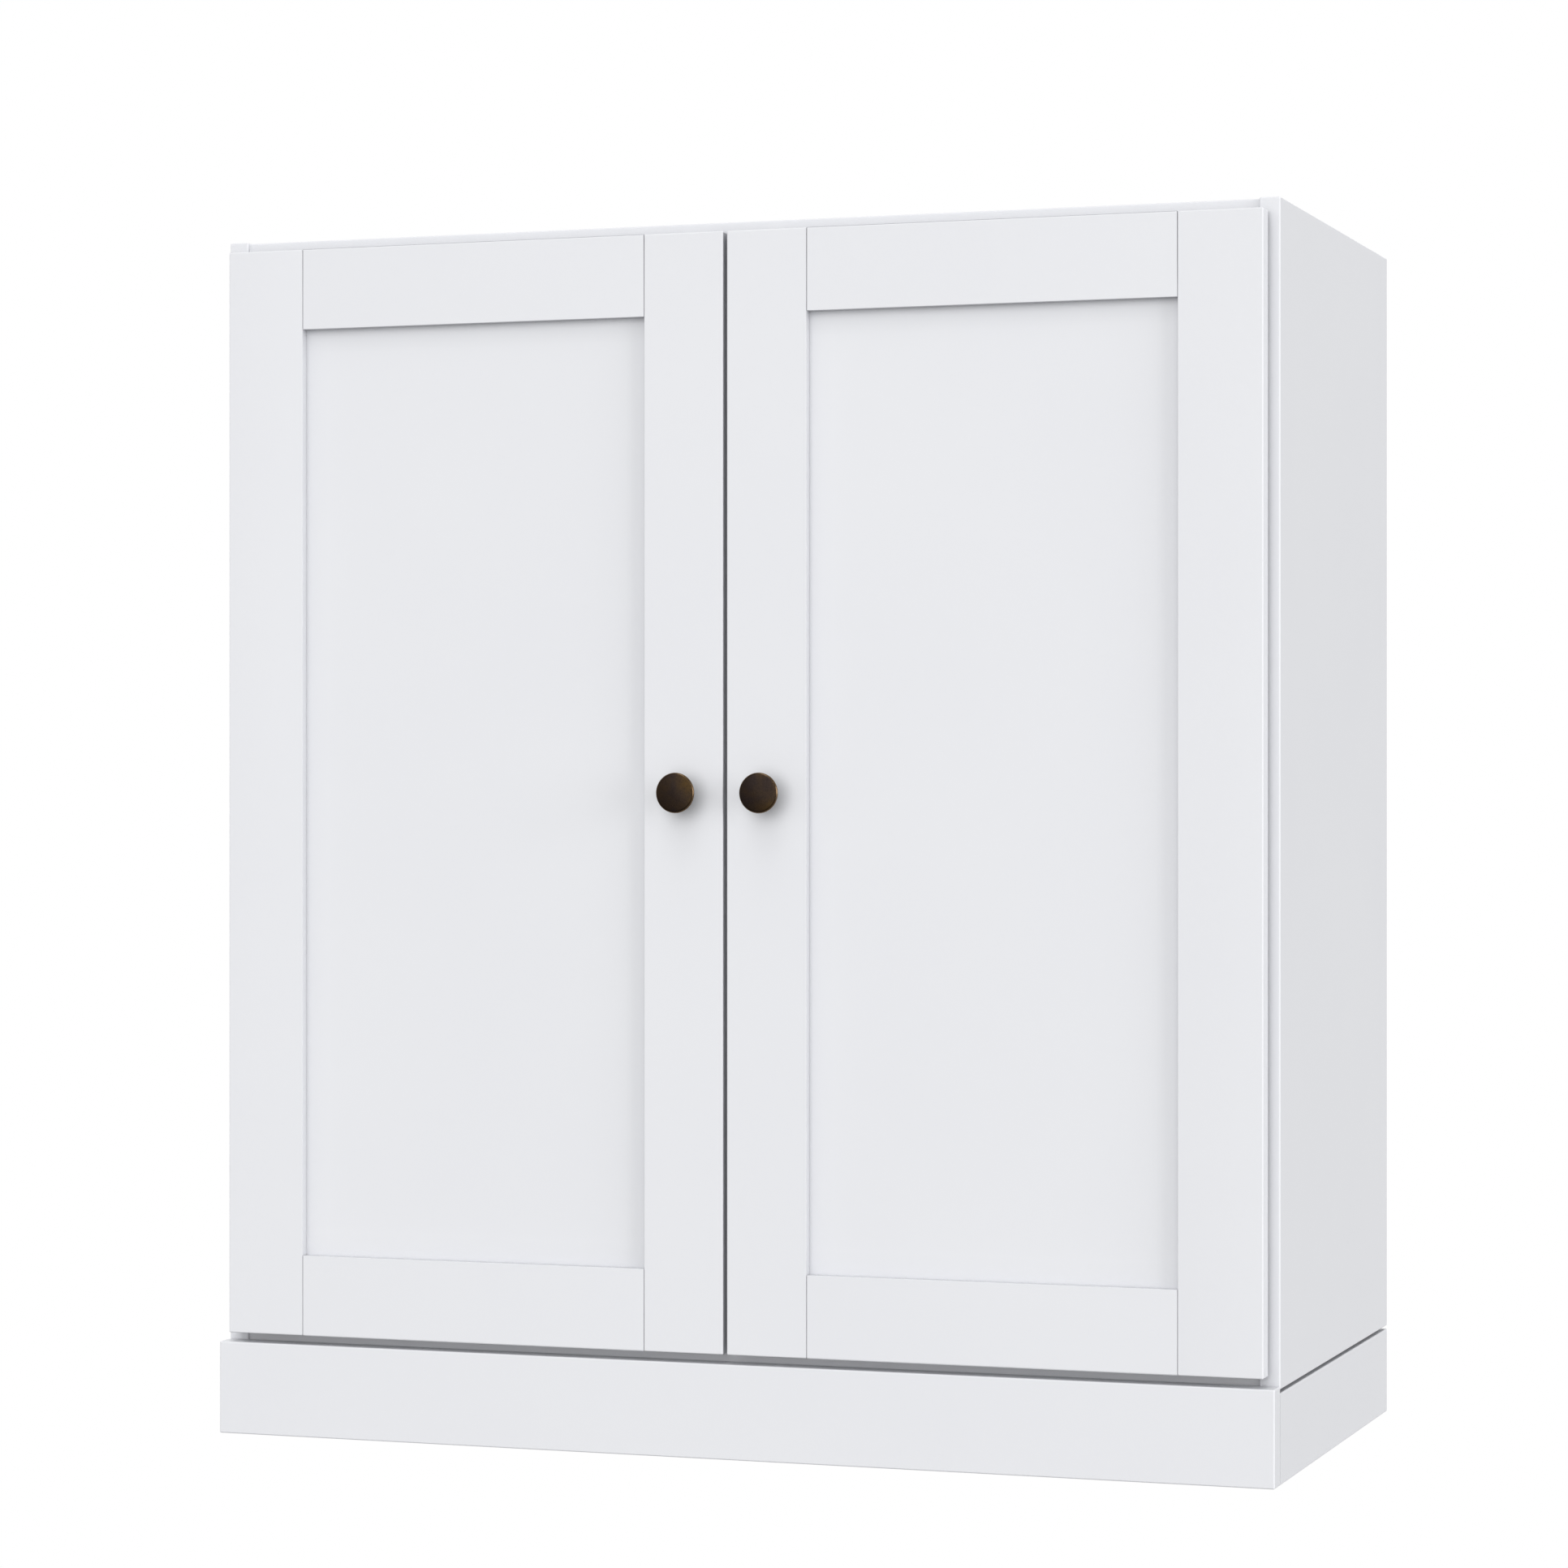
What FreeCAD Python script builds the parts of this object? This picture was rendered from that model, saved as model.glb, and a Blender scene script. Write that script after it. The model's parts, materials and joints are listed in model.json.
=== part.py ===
import FreeCAD, Part
import math
import os

from FreeCAD import Vector

# Two-door wall cabinet with frame-and-panel doors and a skirt.
# Millimetres. +Z is up, the front faces -Y, x = 0 is the middle of the width,
# y = 0 is the wall plane behind the cabinet and z = 0 is the underside of the skirt.

# Overall size
width = 812.0
height = 901.0
carcass_depth = 382.0
board = 15.0
edge_round = 1.0

# Skirt
skirt_front_height = 69.2
skirt_side_height = 64.5
skirt_front_board = 18.0
carcass_bottom = 67.0

# Corner blocks, and the countersunk screws that go from them into the boards
block_size = 32.0
block_chamfer = 12.0
block_screw_shank = 2.0
block_screw_head = 4.0
block_screw_bite = 11.0
block_screw_offset = 8.0
side_screw_z = 18.0
cross_screw_z = 42.0
up_screw_z = 30.0

# Top and bottom panels stand back a little from the side panels' front edges
panel_setback = 2.5
top_drop = 0.7

# Back panel in its grooves, with the hanging rails behind it
back_sheet = 3.0
groove_width = 3.2
groove_depth = 7.0
rail_height = 100.0
wall_hole_radius = 3.5
wall_hole_spacing = 406.4

# Shelves on pins in rows of 5 mm holes
shelf_front_inset = 20.0
shelf_back_inset = 24.0
shelf_side_gap = 1.5
shelf_round = 0.6
row_pitch = 32.0
row_setback = 37.0
rear_row_y = -60.0
row_hole_radius = 2.5
row_hole_depth = 11.0
pin_collar_radius = 4.0
pin_collar = 1.2
pin_tab_length = 9.0
pin_tab_sheet = 3.0
pin_tab_half = 3.5

# Cam locks, bolts, dowels and caps at the carcass joints
cam_setback = 24.0
cam_rows = (-320.0, -72.0)
cam_radius = 7.5
cam_height = 12.4
bolt_thread_radius = 2.5
bolt_shank_radius = 3.0
bolt_neck_radius = 1.6
bolt_neck_length = 4.0
dowel_rows = (-352.0, -104.0)
rail_dowel_y = -7.5
rail_dowel_spread = 30.0
dowel_radius = 4.0
dowel_round = 0.8
dowel_in_side = 11.0
dowel_in_panel = 23.0
cap_radius = 8.5
cap_height = 0.6
cap_round = 0.4

# Room between a fixed piece and its hole, and past the end of a blind hole
fit = 0.05
end_room = 0.5

# Doors
door_board = 16.0
door_gap_behind = 2.3
door_reveal_side = 8.0
door_gap_centre = 3.0
door_bottom = 76.2
door_top = 891.5
stile_width = 61.0
rail_width = 60.0
joint_chamfer = 0.8
panel_recess = 7.0
panel_sheet = 5.0
panel_slack = 0.8
tongue = 10.0
tongue_room = 0.1
bumper_half_width = 6.0
bumper_round = 0.8
bumper_room = 0.2

# Knobs
knob_radius = 14.7
knob_length = 19.0
knob_foot_radius = 7.0
knob_foot_length = 1.5
knob_neck_radius = 5.2
knob_neck_start = 4.0
knob_neck_end = 9.0
knob_flare_radius = 8.6
knob_flare_depth = 5.4
knob_lip = 1.3
knob_edge = 3.2
knob_screw_radius = 2.0
knob_screw_head = 4.0
knob_screw_head_height = 2.4
knob_screw_length = 10.0

# Hinges: single-pivot cup hinges, placed from the door's outer edge (u) and back face (v)
hinge_heights = (180.0, 788.0)
pivot_u = 6.6
pivot_v = -9.0
hinge_pin_radius = 1.2
running_clearance = 0.05

# Hinge cups
cup_u = 20.5
cup_radius = 17.5
cup_depth = 12.5
cup_wall = 0.9
cup_floor = 0.8
flange_sheet = 1.2
flange_rim = 1.5
flange_reach = 16.5
flange_half = 28.5
flange_corner = 5.0
lug_half = 6.0
lug_reach_u = 3.0
lug_reach_v = 3.2
cup_screw_u = 30.0
cup_screw_spread = 22.5
cup_screw_radius = 1.75
cup_screw_head = 3.4
cup_screw_head_height = 1.6
cup_screw_tip_v = -10.4
cup_screw_point = 1.4

# Hinge arms: a barrel on the pin, a bent neck and a channel over the plate
barrel_radius = 2.1
barrel_half = 2.8
arm_sheet = 2.0
leg_u = 18.6
leg_rear_v = 14.0
arm_half = 7.0
web_u = 15.0
web_sheet = 1.6
web_front_v = 8.0
cheek_front_v = 5.0
cheek_sheet = 1.2
cheek_reach = 4.5
arm_rear_v = 66.0
arm_screw_places = (33.0, 52.0)
arm_screw_radius = 2.0
arm_screw_head = 4.0
arm_screw_head_height = 2.0
arm_slot_radius = 2.5

# Hinge plates
plate_screw_spread = 16.0
wing_sheet = 2.2
wing_half_width = 7.0
wing_half_height = 23.0
wing_corner = 6.0
plate_front_v = 26.0
plate_rear_v = 58.0
plate_rise = 6.0
plate_round = 1.0
plate_screw_radius = 2.5
plate_screw_head = 4.2
plate_screw_head_height = 1.8

# Derived places
half = width / 2
inner = half - board
carcass_front = -carcass_depth
panel_front = carcass_front + panel_setback
top_top = height - top_drop
top_under = top_top - board
bottom_top = carcass_bottom + board
door_back = carcass_front - door_gap_behind
door_front = door_back - door_board
door_outer = half - door_reveal_side
door_inner = door_gap_centre / 2
row_front_y = carcass_front + row_setback
lower_shelf_pin = hinge_heights[0] - plate_screw_spread + 5 * row_pitch
upper_shelf_pin = lower_shelf_pin + 9 * row_pitch
top_middle = top_under + board / 2
bottom_middle = carcass_bottom + board / 2
top_rail_middle = top_under - rail_height / 2
bottom_rail_middle = bottom_top + rail_height / 2
block_front = (carcass_front, carcass_front + block_size)
block_rear = (-board - block_size, -board)
groove_front = door_front + panel_recess
groove_back = groove_front + panel_sheet + 2 * tongue_room
outer_stile_inner = door_outer - stile_width
inner_stile_outer = door_inner + stile_width
knob_x = door_inner + stile_width / 2
knob_z = (door_bottom + door_top) / 2
cam_x = inner - cam_setback


def box(x, y, z):
    """A box between the two ends given for each axis."""
    corner = Vector(min(x), min(y), min(z))
    return Part.makeBox(abs(x[1] - x[0]), abs(y[1] - y[0]), abs(z[1] - z[0]), corner)


def between(first, second):
    """A box between two opposite corners."""
    return box((first.x, second.x), (first.y, second.y), (first.z, second.z))


def edges_where(shape, wanted):
    """The edges whose middle point and direction pass the test."""
    found = []
    for edge in (edge for edge in shape.Edges if not edge.Degenerated):
        middle = edge.valueAt((edge.FirstParameter + edge.LastParameter) / 2)
        direction = edge.tangentAt(edge.FirstParameter)
        if wanted(middle, direction):
            found.append(edge)
    return found


def rounded(shape, radius, wanted):
    """The shape with the wanted edges rounded."""
    return shape.makeFillet(radius, edges_where(shape, wanted))


def chamfered(shape, size, wanted):
    """The shape with the wanted edges chamfered."""
    return shape.makeChamfer(size, edges_where(shape, wanted))


def near(first, second):
    return abs(first - second) < 0.01


def board_piece(x, y, z, radius=edge_round):
    """A board with all its edges eased."""
    return rounded(box(x, y, z), radius, lambda middle, direction: True)


def rod(start, end, radius):
    """A round rod between two points."""
    axis = Vector(*end) - Vector(*start)
    return Part.makeCylinder(radius, axis.Length, Vector(*start), axis)


def cone(start, end, start_radius, end_radius):
    """A tapered rod between two points."""
    axis = Vector(*end) - Vector(*start)
    return Part.makeCone(start_radius, end_radius, axis.Length, Vector(*start), axis)


def joined(shapes):
    """One solid from touching shapes."""
    result = shapes[0]
    for shape in shapes[1:]:
        result = result.fuse(shape)
    return result.removeSplitter()


def drilled(shape, holes):
    """The shape with each hole cut out of it."""
    for hole in holes:
        shape = shape.cut(hole)
    return shape


def mirrored(shape):
    """The same piece for the left-hand side."""
    return shape.mirror(Vector(0, 0, 0), Vector(1, 0, 0))


def both_sides(shapes):
    """The right-hand pieces followed by their left-hand copies."""
    return list(shapes) + [mirrored(shape) for shape in shapes]


def export(name, shapes):
    """Write one node: a group of one or more separate solids."""
    for shape in shapes:
        if not shape.isValid() or len(shape.Solids) != 1:
            raise ValueError(name + " is not one valid solid")
    result = shapes[0] if len(shapes) == 1 else Part.makeCompound(shapes)
    result.exportStep("parts/" + name + ".step")


# Screws

def cross_recess(top, outward, head_radius, depth):
    """The two crossed slots of a driver's recess, cut into a head's top."""
    reach = 0.55 * head_radius
    slot = 0.12 * head_radius
    axes = (Vector(1, 0, 0), Vector(0, 1, 0), Vector(0, 0, 1))
    sides = [axis for axis in axes if abs(axis.dot(outward)) < 0.5]
    slots = []
    for first, second in (sides, sides[::-1]):
        spread = first * reach + second * slot
        slots.append(between(top + spread + outward, top - spread - outward * depth))
    return slots


def wood_screw(head, tip):
    """A countersunk screw with its head's flat face at head and a plain shank."""
    head = Vector(*head)
    tip = Vector(*tip)
    along = (tip - head).normalize()
    neck = head + along * (block_screw_head - block_screw_shank)
    point = tip - along * 2 * block_screw_shank
    body = joined([
        cone(head, neck, block_screw_head, block_screw_shank),
        rod(neck, point, block_screw_shank),
        cone(point, tip, block_screw_shank, 0.4),
    ])
    return drilled(body, cross_recess(head, -along, block_screw_head, 0.6))


def wood_screw_hole(head, tip):
    """The hole that a wood screw sits in, with a little room around it."""
    head = Vector(*head)
    tip = Vector(*tip)
    along = (tip - head).normalize()
    neck = head + along * (block_screw_head - block_screw_shank)
    sink = cone(head, neck, block_screw_head + fit, block_screw_shank + fit)
    return sink.fuse(rod(head, tip + along * end_room, block_screw_shank + fit))


def pan_screw(seat, tip, head_radius, head_height, shank_radius, point=0.0):
    """A screw with a domed head on its seat, and a plain shank with or without a point."""
    seat = Vector(*seat)
    tip = Vector(*tip)
    outward = (seat - tip).normalize()
    top = seat + outward * head_height
    head = rounded(
        rod(seat, top, head_radius),
        head_height / 2,
        lambda middle, direction: near((middle - top).dot(outward), 0) and abs(direction.dot(outward)) < 0.5,
    )
    pieces = [head, rod(seat, tip + outward * point, shank_radius)]
    if point:
        pieces.append(cone(tip + outward * point, tip, shank_radius, 0.4))
    return drilled(joined(pieces), cross_recess(top, outward, head_radius, 0.55 * head_height))


# Carcass joints

def cam_lock(y, face, inward):
    """A cam in its pocket: face is the height of the pocket's mouth, inward is +1 or -1."""
    start = face + 0.1 * inward
    body = rod((cam_x, y, start), (cam_x, y, face + cam_height * inward), cam_radius)
    middle = face + board / 2 * inward
    slot = rod((cam_x - 2, y, middle), (cam_x + cam_radius + 1, y, middle), bolt_shank_radius + 0.6)
    recess = cross_recess(Vector(cam_x, y, start), Vector(0, 0, -inward), cam_radius, 2.0)
    return drilled(body, [slot] + recess)


def cam_pocket(y, face, inward):
    """The cam's pocket and the bolt's bore in the panel."""
    middle = face + board / 2 * inward
    floor = face + (cam_height + 0.2) * inward
    pocket = rod((cam_x, y, face), (cam_x, y, floor), cam_radius + fit)
    bore = rod((cam_x, y, middle), (inner + 1, y, middle), bolt_shank_radius + 0.5)
    return pocket.fuse(bore)


def cam_bolt(y, middle):
    """A bolt screwed into the side panel, with its head held in the cam."""
    neck_end = cam_x + bolt_shank_radius
    neck_start = neck_end + bolt_neck_length
    return joined([
        rod((inner + row_hole_depth - end_room, y, middle), (inner, y, middle), bolt_thread_radius),
        rod((inner, y, middle), (neck_start, y, middle), bolt_shank_radius),
        rod((neck_start, y, middle), (neck_end, y, middle), bolt_neck_radius),
        rod((neck_end, y, middle), (cam_x, y, middle), bolt_shank_radius - 0.2),
    ])


def cam_cap(y):
    """A thin cap pressed over a cam's mouth in the top panel."""
    rim = top_top + cap_height
    cap = rod((cam_x, y, top_top), (cam_x, y, rim), cap_radius)
    return rounded(cap, cap_round, lambda middle, direction: near(middle.z, rim) and near(direction.z, 0))


def dowel(y, middle):
    """A beech dowel across a joint."""
    pin = rod((inner + dowel_in_side, y, middle), (inner - dowel_in_panel, y, middle), dowel_radius)
    return rounded(pin, dowel_round, lambda place, direction: near(direction.x, 0))


def dowel_bore(y, middle):
    start = (inner + dowel_in_side + end_room, y, middle)
    end = (inner - dowel_in_panel - end_room, y, middle)
    return rod(start, end, dowel_radius + fit)


def rail_dowel_heights(rail_middle):
    return (rail_middle - rail_dowel_spread, rail_middle + rail_dowel_spread)


# Carcass

def side_hole(y, z, radius):
    """A blind hole from the side panel's inner face."""
    return rod((inner - 1, y, z), (inner + row_hole_depth, y, z), radius + fit)


def shelf_holes():
    """The rows of shelf-pin holes around each shelf's place."""
    holes = []
    for centre in (lower_shelf_pin, upper_shelf_pin):
        for step in range(-2, 3):
            z = centre + step * row_pitch
            holes += [side_hole(row_front_y, z, row_hole_radius), side_hole(rear_row_y, z, row_hole_radius)]
    return holes


def side_panel():
    """Right side panel: grooved for the back and bored for every joint."""
    panel = board_piece((inner, half), (carcass_front, 0), (carcass_bottom, height))
    groove = box((inner - 1, inner + groove_depth), (-board - groove_width, -board), (0, height + 1))
    holes = [groove] + shelf_holes()
    for z in (top_middle, bottom_middle):
        holes += [side_hole(y, z, bolt_thread_radius) for y in cam_rows]
        holes += [dowel_bore(y, z) for y in dowel_rows]
    for rail_middle in (top_rail_middle, bottom_rail_middle):
        holes += [dowel_bore(rail_dowel_y, z) for z in rail_dowel_heights(rail_middle)]
    for z in hinge_heights:
        holes.append(side_hole(row_front_y, z - plate_screw_spread, row_hole_radius))
        holes.append(side_hole(row_front_y, z + plate_screw_spread, row_hole_radius))
    return drilled(panel, holes)


def horizontal_panel(under, groove_face, cam_face):
    """Top or bottom panel, with its groove on one face and cam pockets in the other."""
    panel = rounded(
        box((-inner, inner), (panel_front, 0), (under, under + board)),
        edge_round,
        lambda middle, direction: abs(direction.x) > 0.9 and near(middle.y, panel_front),
    )
    into = 1 if groove_face == under else -1
    groove = box(
        (-half, half),
        (-board - groove_width, -board),
        (groove_face - into, groove_face + into * groove_depth),
    )
    inward = 1 if cam_face == under else -1
    right = [cam_pocket(y, cam_face, inward) for y in cam_rows]
    right += [dowel_bore(y, under + board / 2) for y in dowel_rows]
    return drilled(panel, [groove] + both_sides(right))


def wall_holes():
    """The four wall-screw holes through the back panel and the hanging rails."""
    front = -board - back_sheet - 2
    right = [
        rod((wall_hole_spacing / 2, front, z), (wall_hole_spacing / 2, 1, z), wall_hole_radius)
        for z in (top_rail_middle, bottom_rail_middle)
    ]
    return both_sides(right)


def back_panel():
    """A thin sheet slid into the grooves of the four boards around it."""
    into = groove_depth - end_room
    sheet = box(
        (-inner - into, inner + into),
        (-board - back_sheet - 0.1, -board - 0.1),
        (bottom_top - into, top_under + into),
    )
    return drilled(sheet, wall_holes())


def hanging_rail(middle):
    """A rail behind the back panel that takes the wall screws."""
    rail = box((-inner, inner), (-board, 0), (middle - rail_height / 2, middle + rail_height / 2))
    bores = [dowel_bore(rail_dowel_y, z) for z in rail_dowel_heights(middle)]
    return drilled(rail, wall_holes() + both_sides(bores))


def shelf(pin_height):
    """A loose shelf lying on its pins' flat tabs."""
    under = pin_height + row_hole_radius
    reach = inner - shelf_side_gap
    depth = (carcass_front + shelf_front_inset, -shelf_back_inset)
    return board_piece((-reach, reach), depth, (under, under + board), shelf_round)


def shelf_pin(y, z):
    """A pin in a row hole, with a collar and a flat tab under the shelf."""
    top = z + row_hole_radius
    collar_end = inner - pin_collar
    collar = rod((inner, y, z), (collar_end, y, z), pin_collar_radius)
    over = box((inner - 3, inner + 1), (y - 5, y + 5), (top, top + 5))
    tab = box(
        (collar_end, inner - pin_tab_length),
        (y - pin_tab_half, y + pin_tab_half),
        (top - pin_tab_sheet, top),
    )
    return joined([rod((inner + 8, y, z), (inner - 1, y, z), row_hole_radius), collar.cut(over), tab])


def shelf_pins(z):
    return both_sides([shelf_pin(y, z) for y in (row_front_y, rear_row_y)])


# Skirt

def block_screw_lines(y_range, toward):
    """Head and tip of a corner block's screws: into the side, into the cross board, and up."""
    middle_x = inner - block_size / 2
    middle_y = sum(y_range) / 2
    wall_y, open_y = y_range if toward < 0 else y_range[::-1]
    side_y = middle_y + block_screw_offset * toward
    cross_x = middle_x + block_screw_offset
    cross_tip_y = wall_y + block_screw_bite * toward
    up_x = middle_x - 1
    up_y = middle_y - toward
    return [
        ((inner - block_size + 1, side_y, side_screw_z), (inner + block_screw_bite, side_y, side_screw_z)),
        ((cross_x, open_y + toward, cross_screw_z), (cross_x, cross_tip_y, cross_screw_z)),
        ((up_x, up_y, up_screw_z), (up_x, up_y, carcass_bottom + block_screw_bite)),
    ]


def corner_block(y_range, toward):
    """A block that holds the skirt's corner and carries the bottom panel."""
    open_y = y_range[1] if toward < 0 else y_range[0]
    inside_x = inner - block_size
    block = chamfered(
        box((inside_x, inner), y_range, (0, carcass_bottom)),
        block_chamfer,
        lambda middle, direction: near(middle.x, inside_x) and near(middle.y, open_y),
    )
    holes = []
    for head, tip in block_screw_lines(y_range, toward):
        backward = (Vector(*head) - Vector(*tip)).normalize()
        start = Vector(*head) + backward * (up_screw_z + 1)
        holes.append(wood_screw_hole(head, tip))
        holes.append(rod(start, head, block_screw_head + fit))
    return drilled(block, holes)


def skirt_screw_lines():
    return block_screw_lines(block_front, -1) + block_screw_lines(block_rear, 1)


def skirt_screws():
    return both_sides([wood_screw(head, tip) for head, tip in skirt_screw_lines()])


def skirt_screw_holes():
    return both_sides([wood_screw_hole(head, tip) for head, tip in skirt_screw_lines()])


def skirt_front():
    """The front board, across the ends of the side boards."""
    depth = (carcass_front - skirt_front_board, carcass_front)
    plank = board_piece((-half, half), depth, (0, skirt_front_height))
    return drilled(plank, skirt_screw_holes())


def skirt_side():
    """A side board, with its outer edges eased except where it meets the front board."""
    plank = rounded(
        box((inner, half), (carcass_front, 0), (0, skirt_side_height)),
        edge_round,
        lambda middle, direction: near(middle.x, half) and not near(middle.y, carcass_front),
    )
    return drilled(plank, skirt_screw_holes())


def skirt_rear_rail():
    plank = box((-inner, inner), (-board, 0), (0, skirt_side_height))
    return drilled(plank, skirt_screw_holes())


# Doors

def door_point(u, v, z):
    """A point given from the door's outer edge and back face."""
    return (door_outer - u, door_back + v, z)


def stile(outside_x, inside_x):
    """A stile: eased around the door's outline, with a chamfer and a groove on its inner edge."""
    blank = rounded(
        box((outside_x, inside_x), (door_front, door_back), (door_bottom, door_top)),
        edge_round,
        lambda middle, direction: not near(middle.x, inside_x),
    )
    blank = chamfered(
        blank,
        joint_chamfer,
        lambda middle, direction: near(middle.x, inside_x) and near(middle.y, door_front),
    )
    inward = 1 if inside_x > outside_x else -1
    groove = box(
        (inside_x + inward, inside_x - inward * tongue),
        (groove_front, groove_back),
        (door_bottom - 1, door_top + 1),
    )
    return blank.cut(groove)


def cup_bore(z):
    """The round mortise for one hinge cup and the holes of its two screws."""
    bore = rod(door_point(cup_u, 0.5, z), door_point(cup_u, -cup_depth - 0.1, z), cup_radius + fit)
    for height in (z - cup_screw_spread, z + cup_screw_spread):
        tip = door_point(cup_screw_u, cup_screw_tip_v - 0.1, height)
        bore = bore.fuse(rod(door_point(cup_screw_u, 1, height), tip, cup_screw_radius + fit))
    return bore


def outer_stile():
    return drilled(stile(door_outer, outer_stile_inner), [cup_bore(z) for z in hinge_heights])


def inner_stile():
    start = (knob_x, door_front - 1, knob_z)
    end = (knob_x, door_back + 1, knob_z)
    return stile(door_inner, inner_stile_outer).cut(rod(start, end, knob_screw_radius + 0.2))


def door_rail(outline_z, inward):
    """A rail between the stiles, with a tongue at each end and a groove along its inner edge."""
    inner_z = outline_z + inward * rail_width
    rail = chamfered(
        box((inner_stile_outer, outer_stile_inner), (door_front, door_back), (outline_z, inner_z)),
        joint_chamfer,
        lambda middle, direction: near(middle.y, door_front) and not near(middle.z, outline_z),
    )
    rail = rounded(
        rail,
        edge_round,
        lambda middle, direction: abs(direction.x) > 0.9 and near(middle.z, outline_z),
    )
    reach = tongue - 2 * tongue_room
    tongues = box(
        (inner_stile_outer - reach, outer_stile_inner + reach),
        (groove_front + tongue_room, groove_back - tongue_room),
        (outline_z + 0.3 * inward, inner_z - 0.3 * inward),
    )
    groove = box(
        (inner_stile_outer - tongue, outer_stile_inner + tongue),
        (groove_front, groove_back),
        (inner_z + inward, inner_z - inward * tongue),
    )
    return joined([rail, tongues]).cut(groove)


def centre_panel():
    """A flat sheet, free to move in the frame's grooves."""
    into = tongue - panel_slack
    return box(
        (inner_stile_outer - into, outer_stile_inner + into),
        (groove_front + tongue_room, groove_back - tongue_room),
        (door_bottom + rail_width - into, door_top - rail_width + into),
    )


def knob():
    """A turned knob: foot, narrow neck and a flat disc with a rounded lip."""
    face = door_front - knob_length

    def place(radius, y):
        return Vector(knob_x + radius, y, knob_z)

    points = [
        place(0, door_front),
        place(knob_foot_radius, door_front),
        place(knob_foot_radius, door_front - knob_foot_length),
        place(knob_neck_radius, door_front - knob_neck_start),
        place(knob_neck_radius, door_front - knob_neck_end),
    ]
    flare_end = place(knob_radius, face + knob_edge)
    lip_start = place(knob_radius, face + knob_lip)
    lip_end = place(knob_radius - knob_lip, face)
    turn = knob_lip * (1 - math.sqrt(0.5))
    edges = [Part.makeLine(first, second) for first, second in zip(points, points[1:])]
    edges += [
        Part.Arc(points[-1], place(knob_flare_radius, face + knob_flare_depth), flare_end).toShape(),
        Part.makeLine(flare_end, lip_start),
        Part.Arc(lip_start, place(knob_radius - turn, face + turn), lip_end).toShape(),
        Part.makeLine(lip_end, place(0, face)),
        Part.makeLine(place(0, face), points[0]),
    ]
    profile = Part.Face(Part.Wire(edges))
    turned = profile.revolve(Vector(knob_x, 0, knob_z), Vector(0, 1, 0), 360)
    thread_end = (knob_x, door_front - knob_screw_length - end_room, knob_z)
    return turned.cut(rod((knob_x, door_front + 1, knob_z), thread_end, knob_screw_radius + fit))


def knob_screw():
    """A machine screw through the stile into the knob."""
    seat = (knob_x, door_back, knob_z)
    tip = (knob_x, door_front - knob_screw_length, knob_z)
    return pan_screw(seat, tip, knob_screw_head, knob_screw_head_height, knob_screw_radius)


def bumper(z_range):
    """A soft pad on the door's back, where it meets a panel's front edge."""
    depth = (door_back, panel_front - bumper_room)
    across = (knob_x - bumper_half_width, knob_x + bumper_half_width)
    return board_piece(across, depth, z_range, bumper_round)


# Hinges

def pin_rod(z, half_length, radius):
    """A rod on the hinge's axis, centred at a height."""
    end = door_point(pivot_u, pivot_v, z + half_length)
    return rod(door_point(pivot_u, pivot_v, z - half_length), end, radius)


def cup(z):
    """A hinge cup with its flange and the two lugs that hold the pin."""
    shell = rod(door_point(cup_u, 0, z), door_point(cup_u, -cup_depth, z), cup_radius)
    floor = door_point(cup_u, -cup_depth + cup_floor, z)
    pocket = rod(door_point(cup_u, 2, z), floor, cup_radius - cup_wall)
    flange = rounded(
        box(
            (door_outer - cup_u + 1, door_outer - cup_u - flange_reach),
            (door_back, door_back + flange_sheet),
            (z - flange_half, z + flange_half),
        ),
        flange_corner,
        lambda middle, direction: abs(direction.y) > 0.9,
    )
    rim = rod(door_point(cup_u, 0, z), door_point(cup_u, flange_sheet, z), cup_radius + flange_rim)
    body = joined([flange, rim, shell]).cut(pocket)
    lugs = []
    for side in (-1, 1):
        block = box(
            (door_outer - 1, door_outer - pivot_u - lug_reach_u),
            (door_back + pivot_v + lug_reach_v, door_back - cup_depth),
            (z + side * (barrel_half + 0.3), z + side * lug_half),
        )
        lugs.append(block.common(shell))
    holes = [pin_rod(z, lug_half, hinge_pin_radius)]
    for height in (z - cup_screw_spread, z + cup_screw_spread):
        start = door_point(cup_screw_u, -1, height)
        holes.append(rod(start, door_point(cup_screw_u, 3, height), cup_screw_radius + fit))
    return drilled(joined([body] + lugs), holes)


def cup_screw(z):
    """A screw that holds the cup's flange to the stile."""
    seat = door_point(cup_screw_u, flange_sheet, z)
    tip = door_point(cup_screw_u, cup_screw_tip_v, z)
    return pan_screw(seat, tip, cup_screw_head, cup_screw_head_height, cup_screw_radius, cup_screw_point)


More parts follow.
